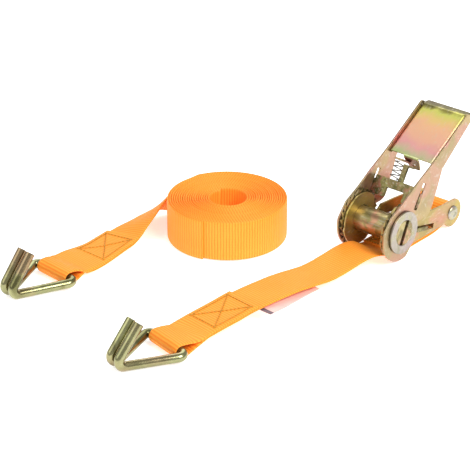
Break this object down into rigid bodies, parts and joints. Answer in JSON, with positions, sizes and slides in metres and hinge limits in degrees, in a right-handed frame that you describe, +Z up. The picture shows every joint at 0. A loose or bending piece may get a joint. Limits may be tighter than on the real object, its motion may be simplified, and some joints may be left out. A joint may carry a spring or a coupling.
{
  "type": "ratchet tie-down strap",
  "caption": "Ratchet tie-down strap set: a hand ratchet on a short hooked strap, and a separate rolled long strap with its own claw hook.",
  "frame": {"origin": "floor level under the middle of the whole set's bounding box", "axes": "+Z up; X runs along the ratchet from its webbing mouth to its bolt; Y runs along the spool, from the near side with the short strap to the far side with the rolled strap"},
  "size_m": [0.2751, 0.1614, 0.0726],
  "materials": {
    "frame_zinc": "yellow zinc-plated pressed steel sheet",
    "handle_zinc": "yellow zinc-plated pressed steel sheet, iridescent",
    "bolt_steel": "zinc-plated steel",
    "pawl_zinc": "yellow zinc-plated steel",
    "spring_wire": "bare spring steel wire",
    "spool_zinc": "yellow zinc-plated steel bar",
    "wheel_zinc": "yellow zinc-plated steel",
    "disc_zinc": "yellow zinc-plated steel washer",
    "hook_zinc": "yellow zinc-plated steel wire",
    "webbing": "woven polyester webbing",
    "thread": "sewing thread",
    "label": "plain woven label"
  },
  "bodies": {
    "short_strap_body": {"short_strap": "webbing", "short_strap_stitching": "thread", "info_label": "label"},
    "frame": {"frame_plate_near": "frame_zinc", "frame_plate_far": "frame_zinc", "frame_bolt": "bolt_steel", "bolt_sleeve": "bolt_steel", "lock_spring_bar": "frame_zinc", "lock_pawl_spring": "spring_wire"},
    "lock_pawl_body": {"lock_pawl": "pawl_zinc"},
    "handle_body": {"handle": "handle_zinc", "drive_pawl_spring": "spring_wire"},
    "drive_pawl_body": {"drive_pawl": "pawl_zinc"},
    "spool": {"spool_half_upper": "spool_zinc", "spool_half_lower": "spool_zinc", "ratchet_wheel_near": "wheel_zinc", "ratchet_wheel_far": "wheel_zinc", "end_disc_near": "disc_zinc", "end_disc_far": "disc_zinc"},
    "short_hook_body": {"short_hook": "hook_zinc"},
    "long_strap_body": {"long_strap": "webbing", "long_strap_stitching": "thread"},
    "long_hook_body": {"long_hook": "hook_zinc"}
  },
  "joints": [
    {"name": "ratchet_lift", "type": "hinge", "parent": "short_strap_body", "child": "frame", "pos_m": [0.12395, -0.06178, 0.0092], "axis": [0, 1, 0], "range_deg": [0, 90]},
    {"name": "handle_pivot", "type": "hinge", "parent": "frame", "child": "handle_body", "pos_m": [0.06795, -0.06178, 0.0186], "axis": [0, -1, 0], "range_deg": [-30, 135]},
    {"name": "spool_spin", "type": "hinge", "parent": "frame", "child": "spool", "pos_m": [0.06795, -0.06178, 0.0186], "axis": [0, -1, 0], "continuous": true},
    {"name": "lock_pawl_slide", "type": "slide", "parent": "frame", "child": "lock_pawl_body", "axis": [0.9744, 0, -0.225], "range_m": [0, 0.003], "stiffness_N_per_m": 400, "springref_m": -0.003, "deforming": ["lock_pawl_spring"]},
    {"name": "drive_pawl_slide", "type": "slide", "parent": "handle_body", "child": "drive_pawl_body", "axis": [0.5299, 0, 0.848], "range_m": [0, 0.003], "stiffness_N_per_m": 400, "springref_m": -0.003, "deforming": ["drive_pawl_spring"]},
    {"name": "short_hook_swing", "type": "hinge", "parent": "short_strap_body", "child": "short_hook_body", "pos_m": [-0.09975, -0.04493, 0.0046], "axis": [0.2079, 0.9781, 0], "range_deg": [0, 90]},
    {"name": "long_strap_lift", "type": "slide", "parent": "short_strap_body", "child": "long_strap_body", "axis": [0, 0, 1], "range_m": [0, 0.15]},
    {"name": "long_hook_swing", "type": "hinge", "parent": "long_strap_body", "child": "long_hook_body", "pos_m": [-0.07935, 0.06002, 0.0046], "axis": [0.0924, 0.9957, 0], "range_deg": [0, 90]}
  ]
}
